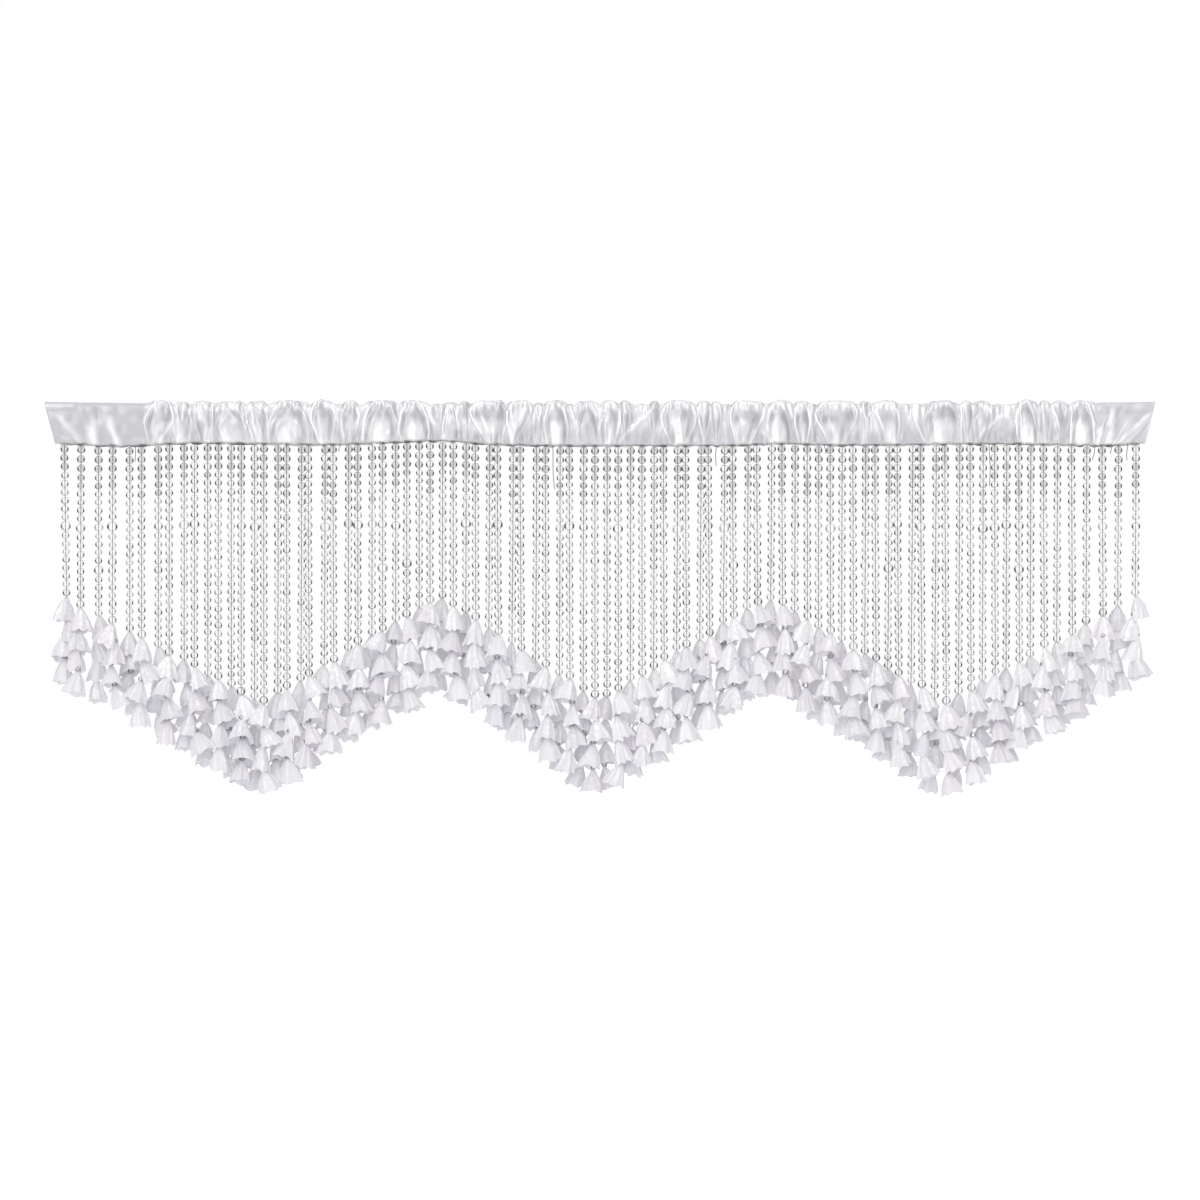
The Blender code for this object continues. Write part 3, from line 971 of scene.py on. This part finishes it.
def make_beads(strings, surface):
    """The clear beads, one piece for each row of strings in each third of the width."""
    points, faces = bead_template()
    rng = random.Random(BEAD_SEED)
    groups = {}
    for i, string in enumerate(strings):
        row = "front" if string["side"] < 0 else "back"
        third = 1 + 3 * i // STRINGS
        group = groups.setdefault(f"beads_{row}_{third}", [])
        for place, size, tone in bead_places(string, rng):
            group.append((turn_matrix(rng, size), place, tone))
    made = []
    for name, group in groups.items():
        mesh = copies(points, faces, [(matrix, place) for matrix, place, _ in group])
        tones = np.repeat([tone for _, _, tone in group], len(points))
        levels = np.tile(bead_levels(points), len(group))
        made.append(piece_from(name, *mesh, surface, tone=tones, level=levels))
    return made


def make_threads(strings, surface):
    """One thread for each string, from inside the tape down to its last flower."""
    threads = []
    for string in strings:
        x, top = string["x"], -HEADING_DROP - seam_sag(string["x"])
        path = [(x, 0.0, top + 0.001), (x, string["side"] * ROOT_STEP, top - 0.006)]
        for k in range(1, 7):
            z = path[1][2] + (-string["drop"] - path[1][2]) * k / 6
            path.append(string_point(string, z))
        foot = -string["drop"] - (FLOWERS - 1) * string["pitch"] - 0.012
        path.append(string_point(string, foot))
        threads.append(tube(path, THREAD_RADIUS, 6))
    return piece_from("threads", *joined(threads), surface)


# Loose ends of thread below the seam, in millimetres; sway is how far the end drifts aside
LOOSE_ENDS = table_of(
    "x long sway",
    (-638, 24, 1),
    (-356, 12, -2),
    (-65, 62, 2),
    (160, 30, -2),
    (308, 14, 1),
    (534, 60, 1),
    (679, 22, -2),
    (701, 14, 1),
    (724, 24, -1),
)
LOOSE_RADIUS = 0.0006


def make_loose_ends(surface):
    """Ends of sewing thread that hang from the seam in front of the strings."""
    ends = []
    for row, end in enumerate(LOOSE_ENDS):
        x, length = end["x"] * MM, end["long"] * MM
        top = -HEADING_DROP - seam_sag(x)
        path = []
        for k in range(13):
            share = k / 12
            curl = math.sin(share * 5.0 + row) * 0.0012 * share
            away = -0.0012 - 0.0030 * math.sin(math.pi * min(1.0, share * 1.2))
            path.append((x + end["sway"] * MM * share + curl, away, top + 0.0015 - length * share))
        ends.append(tube(path, LOOSE_RADIUS, 5))
    return piece_from("loose_ends", *joined(ends), surface)


STITCH_SEED = 3
STITCH_PITCH = 0.0034
STITCH_LENGTH = 0.0022
STITCH_RADIUS = 0.00032
STITCH_LINE = 0.955  # where the row of stitches runs, as a share of the heading's drop


def make_stitches(surface):
    """The row of stitches that sews the heading's legs to the tape, front and back."""
    half = TOP_WIDTH / 2 - END_SLANT - 0.004
    rng = random.Random(STITCH_SEED)
    stitches = []
    for side in (-1, 1):
        x = -half
        while x < half - STITCH_LENGTH:
            path = []
            for k, sunk in enumerate((-0.0004, 0.0001, -0.0004)):
                at = x + STITCH_LENGTH * k / 2
                _, depth, z = heading_point(at, side, STITCH_LINE)
                path.append((at, depth + side * (SATIN / 3 + sunk), z))
            stitches.append(tube(path, STITCH_RADIUS, 4, down=False))
            x += STITCH_PITCH * rng.uniform(0.9, 1.1)
    return piece_from("seam_stitches", *joined(stitches), surface)


# ---- flowers

# Rings down a flower's outer skin, as shares of its drop, with a straight cone's and a round
# bell's shares of the radius
SKIN = table_of(
    "down cone bell", (0.00, 0.13, 0.13), (0.07, 0.25, 0.29), (0.24, 0.44, 0.56),
    (0.45, 0.65, 0.79), (0.68, 0.85, 0.94), (0.87, 0.98, 1.00), (0.97, 1.08, 1.05),
)
LINING = [4, 2]  # the skin's rings that the inner face follows, from the mouth up
FLATTENED = 0.79  # front to back, by the flowers beside it
FLOWER_SEED = 21
CRUMPLE = (0.0016, 0.0016, 0.0007)
CRUMPLE_SCALE = (140.0, 140.0, 70.0)  # long down the flower

# A small round bead of unit diameter, as (radius, height) pairs
SPACER_PROFILE = [(0, 0.5), (0.25, 0.43), (0.43, 0.25), (0.5, 0), (0.43, -0.25), (0.25, -0.43), (0, -0.5)]
SPACER_SIDES = 10
SPACER_TONE = 0.45


def flower_faces():
    """Faces of one flower: skin, rim and lining, closed at the tip and inside it."""
    rings = len(SKIN) + 1 + len(LINING)
    tip = rings * FLOWER_SIDES
    faces = ring_faces(rings, FLOWER_SIDES, 0) + end_faces(tip, 0, FLOWER_SIDES, True)
    return np.array(faces + end_faces(tip + 1, tip - FLOWER_SIDES, FLOWER_SIDES, False))


def flower_points(rng):
    """A folded satin bell hung by its tip at the origin, and how much painted shade each point gets.

    The painted shade is deepest in a fold and inside the bell and grows towards the rim; each side of
    a fold gets a painted grey of its own, and painted sheen streaks run down it.
    """
    around = np.arange(FLOWER_SIDES) * 2 * math.pi / FLOWER_SIDES
    folds = rng.choice([5, 6, 6, 7, 8])
    bent = around + rng.uniform(0.1, 0.45) * np.sin(around + rng.uniform(0, 2 * math.pi))
    turn = folds * bent / 2 + rng.uniform(0, math.pi)
    rounded = np.abs(np.cos(turn)) ** 0.6
    ribbed = 1 - np.abs(np.sin(turn)) ** 0.8
    mix = rng.uniform(0.15, 0.85)
    pleat = mix * rounded + (1 - mix) * ribbed
    pleat = pleat + 0.14 * np.cos(turn * 4 + rng.uniform(0, 6))
    depth = rng.uniform(0.17, 0.33)
    lobe = np.cos(2 * turn) * rng.uniform(0.02, 0.055)
    lobe = lobe + rng.uniform(0, 0.05) * np.cos(around * 2 + rng.uniform(0, 6))
    wide = FLOWER_RADIUS * rng.uniform(0.88, 1.14)
    flat = rng.uniform(0.84, 1.0)
    tall = FLOWER_DROP * rng.uniform(0.88, 1.06)
    sway = np.array([rng.uniform(-1, 1), rng.uniform(-1, 1)]) * 0.0030

    def ring(out, down, thinner):
        reach = min(1.0, down / 0.35) * depth
        radius = wide * out * (1 + 0.45 * reach - reach * (1 - pleat)) - thinner
        drop = tall * (down + lobe * max(0.0, (down - 0.35) / 0.6))
        x = radius * np.cos(around) + sway[0] * down * down
        y = radius * np.sin(around) * flat + sway[1] * down * down
        return np.stack([x, y, -drop], axis=1)

    round_share = 0.8 * rng.random() ** 1.3
    outs = [row["cone"] + (row["bell"] - row["cone"]) * round_share for row in SKIN]
    rings = [ring(out, row["down"], 0.0) for out, row in zip(outs, SKIN)]
    rings.append(ring(outs[-1], SKIN[-1]["down"] + 0.012, SEEN_SATIN))
    for k in LINING:
        rings.append(ring(outs[k], SKIN[k]["down"] + 0.015, SEEN_SATIN))
    ends = np.array([(0.0, 0.0, 0.02 * tall), (0.0, 0.0, -0.12 * tall)])
    # Painted sheen streaks down the bell, and a painted grey for each side of a fold.
    painted_sheen_streak = np.array([rng.uniform(-0.5, 0.5) for _ in range(FLOWER_SIDES)])
    painted_facet_greys = [rng.random() ** 1.8 for _ in range(2 * folds)]
    painted_facet_grey = np.array([painted_facet_greys[int(2 * share / math.pi) % (2 * folds)] for share in turn])
    painted_fold_shade = 0.7 * np.clip(1.0 - 1.3 * pleat, 0, 1) + painted_facet_grey + (painted_sheen_streak + np.roll(painted_sheen_streak, 1)) * 0.3
    # Painted shade by ring: darker towards the rim, and grey on the lining inside the bell.
    thin = [0.55 * row["down"] ** 4 for row in SKIN] + [0.5] + [0.4] * len(LINING)
    creases = np.concatenate([painted_fold_shade + grey for grey in thin] + [[0.1, 0.5]])
    points = np.concatenate([*rings, ends])
    crumple = Vector((rng.uniform(0, 50), rng.uniform(0, 50), rng.uniform(0, 50)))
    for point in points:
        pushed = noise.noise_vector(Vector(point * CRUMPLE_SCALE) + crumple)
        point += np.array(pushed) * CRUMPLE * min(1.0, -point[2] / 0.012)
    return points @ tilt_matrix(rng).T * (1.0, FLATTENED, 1.0), creases


def tilt_matrix(rng):
    """Turns a flower on its thread and tips it a little to one side."""
    spin = rng.uniform(0, 2 * math.pi)
    toward = rng.uniform(0, 2 * math.pi)
    tip = FLOWER_TILT * rng.random() ** 0.6
    c, s = math.cos(spin), math.sin(spin)
    about_z = np.array([[c, -s, 0], [s, c, 0], [0, 0, 1]])
    ct, st = math.cos(toward), math.sin(toward)
    facing = np.array([[ct, -st, 0], [st, ct, 0], [0, 0, 1]])
    cp, sp = math.cos(tip), math.sin(tip)
    about_y = np.array([[cp, 0, sp], [0, 1, 0], [-sp, 0, cp]])
    return facing @ about_y @ facing.T @ about_z


def make_flowers(strings, satin, spacer):
    """The satin flowers, one piece for each row, and the clear beads between them."""
    faces = flower_faces()
    rng = random.Random(FLOWER_SEED)
    noise.seed_set(FLOWER_SEED)  # noise_vector's own seed, which is the time of day otherwise
    made, small = [], []
    for row, side in (("front", -1), ("back", 1)):
        flowers, tones, creases = [], [], []
        for string in strings:
            if string["side"] != side:
                continue
            swing = rng.uniform(-FLOWER_SWING, FLOWER_SWING)
            for k in range(FLOWERS):
                up = rng.uniform(-1, 1) * (JOSTLE if k else 0.001)
                z = -string["drop"] - k * string["pitch"] + up
                aside = swing * k / FLOWERS + rng.uniform(-1, 1) * (JOSTLE if k else 0.0008)
                x = string_point(string, z)[0] + aside
                points, flower_shade = flower_points(rng)
                flowers.append(points + (x, side * ROW_STEP, z))
                # Each flower lower on its string gets a little more painted shade.
                creases.append(flower_shade + 0.10 * k)
                tones.append(rng.random())
                if k > 0:
                    small.append((np.eye(3) * SPACER_BEAD, (x, side * ROW_STEP, z + SPACER_RISE)))
        count = len(flowers[0])
        # The crease attribute carries the petals' painted shade.
        made.append(piece_from(
            f"flowers_{row}", np.concatenate(flowers), repeated(faces, len(flowers), count), satin,
            sharp=math.radians(38), tone=np.repeat(tones, count), crease=np.concatenate(creases),
        ))
    bead_points, bead_faces = turned(SPACER_PROFILE, SPACER_SIDES)
    levels = np.tile(bead_levels(bead_points), len(small))
    beads = copies(bead_points, bead_faces, small)
    tones = np.full(len(levels), SPACER_TONE)
    made.append(piece_from("spacer_beads", *beads, spacer, tone=tones, level=levels))
    return made


# ---- tape


def make_tape(surface):
    """The woven tape, sewn between the heading's legs and showing just below the seam."""
    half = FRINGE_WIDTH / 2 + 0.0054
    steps = 300
    points = []
    for k in range(steps + 1):
        x = -half + 2 * half * k / steps
        seam = -HEADING_DROP - seam_sag(x)
        shows = TAPE_SHOWS * (1.2 + 2.0 * rough(x * 95, 0.0, 15.0))
        shows = min(max(shows, 0.1 * TAPE_SHOWS), 1.9 * TAPE_SHOWS)
        for side, z in ((-1, -shows), (1, -shows), (1, TAPE_RISE), (-1, TAPE_RISE)):
            points.append((x, side * TAPE / 2, seam - SEWN_EDGE / 2 + z))
    return piece_from("woven_tape", points, rod_faces(steps + 1, 4), surface, sharp=math.radians(30))


# ---- studio

CAMERA_AWAY = 6.0
PHOTO_SIDE = 1200  # pixels
METRES_PER_PIXEL = TOP_WIDTH / 1110
TOP_EDGE_ROW = 401.5  # the photo's row where the heading's top edge lies
FLOOR_DEPTH = 2.0
FLOOR_HALF = 40.0
LEVEL_LIGHT = 0.95
HIGH_LIGHT = 0.50
ZENITH_LIGHT = 1.2
LOW_LIGHT = 1.15
SIDE_SHARE = 0.6  # of the light that comes from the left and right
KEY_LIGHT = 0.8
KEY_SPREAD = math.radians(45)
KEY_FROM = (-0.35, -0.80, 0.40)


def make_camera():
    """A long lens, straight in front, that frames the valance as the photo does."""
    lens = bpy.data.cameras.new("camera")
    lens.sensor_width = 36.0
    wide = PHOTO_SIDE * METRES_PER_PIXEL
    lens.lens = lens.sensor_width * CAMERA_AWAY / wide
    eye = bpy.data.objects.new("camera", lens)
    middle = -(PHOTO_SIDE / 2 - TOP_EDGE_ROW) * METRES_PER_PIXEL
    eye.location = (0.0, -CAMERA_AWAY, middle)
    eye.rotation_euler = (math.pi / 2, 0.0, 0.0)
    bpy.context.scene.collection.objects.link(eye)
    bpy.context.scene.camera = eye


def make_floor():
    """A plain pale floor, far below, which the satin and the beads don't mirror."""
    mesh = bpy.data.meshes.new("floor")
    corners = [(-FLOOR_HALF, -FLOOR_HALF), (FLOOR_HALF, -FLOOR_HALF)]
    corners += [(-x, -y) for x, y in corners]
    mesh.from_pydata([(x, y, -FLOOR_DEPTH) for x, y in corners], [], [(0, 1, 2, 3)])
    floor = bpy.data.objects.new("floor", mesh)
    surface = Nodes("floor")
    surface.set(Base_Color=(0.95, 0.95, 0.95, 1.0), Roughness=0.9)
    surface.set(Emission_Color=(1.0, 1.0, 1.0, 1.0), Emission_Strength=0.7)
    mesh.materials.append(surface.material)
    bpy.context.scene.collection.objects.link(floor)
    floor.visible_diffuse = False
    floor.visible_glossy = False
    floor.visible_transmission = False


def make_world():
    """A soft studio: light from all round, with less of it from the sides and from high up."""
    world = bpy.data.worlds.new("studio")
    world.use_nodes = True
    nodes = Graph(world.node_tree)
    where = nodes.add("ShaderNodeTexCoord").outputs["Generated"]
    parts = nodes.add("ShaderNodeSeparateXYZ", {0: where}).outputs
    above = nodes.span(parts["Z"], (0.05, 0.35), (1.0, HIGH_LIGHT / LEVEL_LIGHT))
    below = nodes.span(parts["Z"], (0.0, -0.4), (LEVEL_LIGHT, LOW_LIGHT))
    zenith = nodes.span(parts["Z"], (0.55, 0.85), (0.0, 1.0))
    by_height = nodes.mix(zenith, nodes.math("MULTIPLY", above, below), ZENITH_LIGHT)
    across = nodes.add("ShaderNodeMath", {0: parts["X"]}, operation="ABSOLUTE").outputs[0]
    aside = nodes.span(across, (0.55, 0.90), (1.0, SIDE_SHARE))
    whole = nodes.math("MULTIPLY", by_height, aside)
    seen = nodes.add("ShaderNodeLightPath").outputs
    through = nodes.math("MAXIMUM", seen["Is Camera Ray"], seen["Is Transmission Ray"])
    background = nodes.tree.nodes["Background"]
    background.inputs["Color"].default_value = (1.0, 1.0, 1.0, 1.0)
    nodes.tree.links.new(nodes.mix(through, whole, 1.0), background.inputs["Strength"])
    bpy.context.scene.world = world


def make_key():
    """A wide soft light from the front left, above the heading."""
    data = bpy.data.lights.new("key", "SUN")
    data.energy = KEY_LIGHT
    data.angle = KEY_SPREAD
    lamp = bpy.data.objects.new("key", data)
    lamp.rotation_euler = (-Vector(KEY_FROM)).to_track_quat("-Z", "Y").to_euler()
    bpy.context.scene.collection.objects.link(lamp)


def make_studio():
    make_camera()
    make_floor()
    make_world()
    make_key()
    bpy.context.scene.view_settings.view_transform = "Standard"


# ---- the part

make_studio()
# The satin's colours: painted shade in hollows, the flat satin, painted highlight on crests.
satin = satin_material("satin", (0.56, 0.56, 0.59), (0.765, 0.76, 0.79), (0.985, 0.985, 0.985))
petal_tints = [
    (0.00, (0.960, 0.967, 0.955)),
    (0.30, (0.920, 0.913, 0.935)),
    (0.60, (0.970, 0.967, 0.975)),
    (0.80, (0.855, 0.848, 0.870)),
    (1.00, (0.950, 0.922, 0.945)),
]
petal_satin = petal_material("petal_satin", petal_tints)
# Clear beads; the near-black colour is for their painted dark edges and spots.
clear = bead_material("clear_bead", (0.985, 0.985, 0.985), (0.003, 0.003, 0.003))
thread = thread_material("thread", (0.34, 0.34, 0.35), (0.57, 0.57, 0.59), 260.0)
loose = thread_material("loose_thread", (0.15, 0.15, 0.155), (0.32, 0.32, 0.33), 300.0)
sewing = thread_material("sewing_thread", (0.80, 0.80, 0.82), (0.93, 0.93, 0.94), 500.0)
# The tape is darker along some stretches.
tape = thread_material("tape", (0.66, 0.65, 0.64), (0.92, 0.91, 0.89), 380.0, darker_share=0.9)

strings = make_strings()
heading = make_heading(satin)
stitches = make_stitches(sewing)
for piece in (heading, stitches):
    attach(piece, "root")
    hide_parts("heading_pocket")

beads = make_beads(strings, clear)
hung = [make_threads(strings, thread), make_tape(tape), make_loose_ends(loose)]
fringe = beads + hung
flowers = make_flowers(strings, petal_satin, clear)
for piece in fringe + flowers:
    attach(piece, "root")
    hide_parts("bead_fringe")
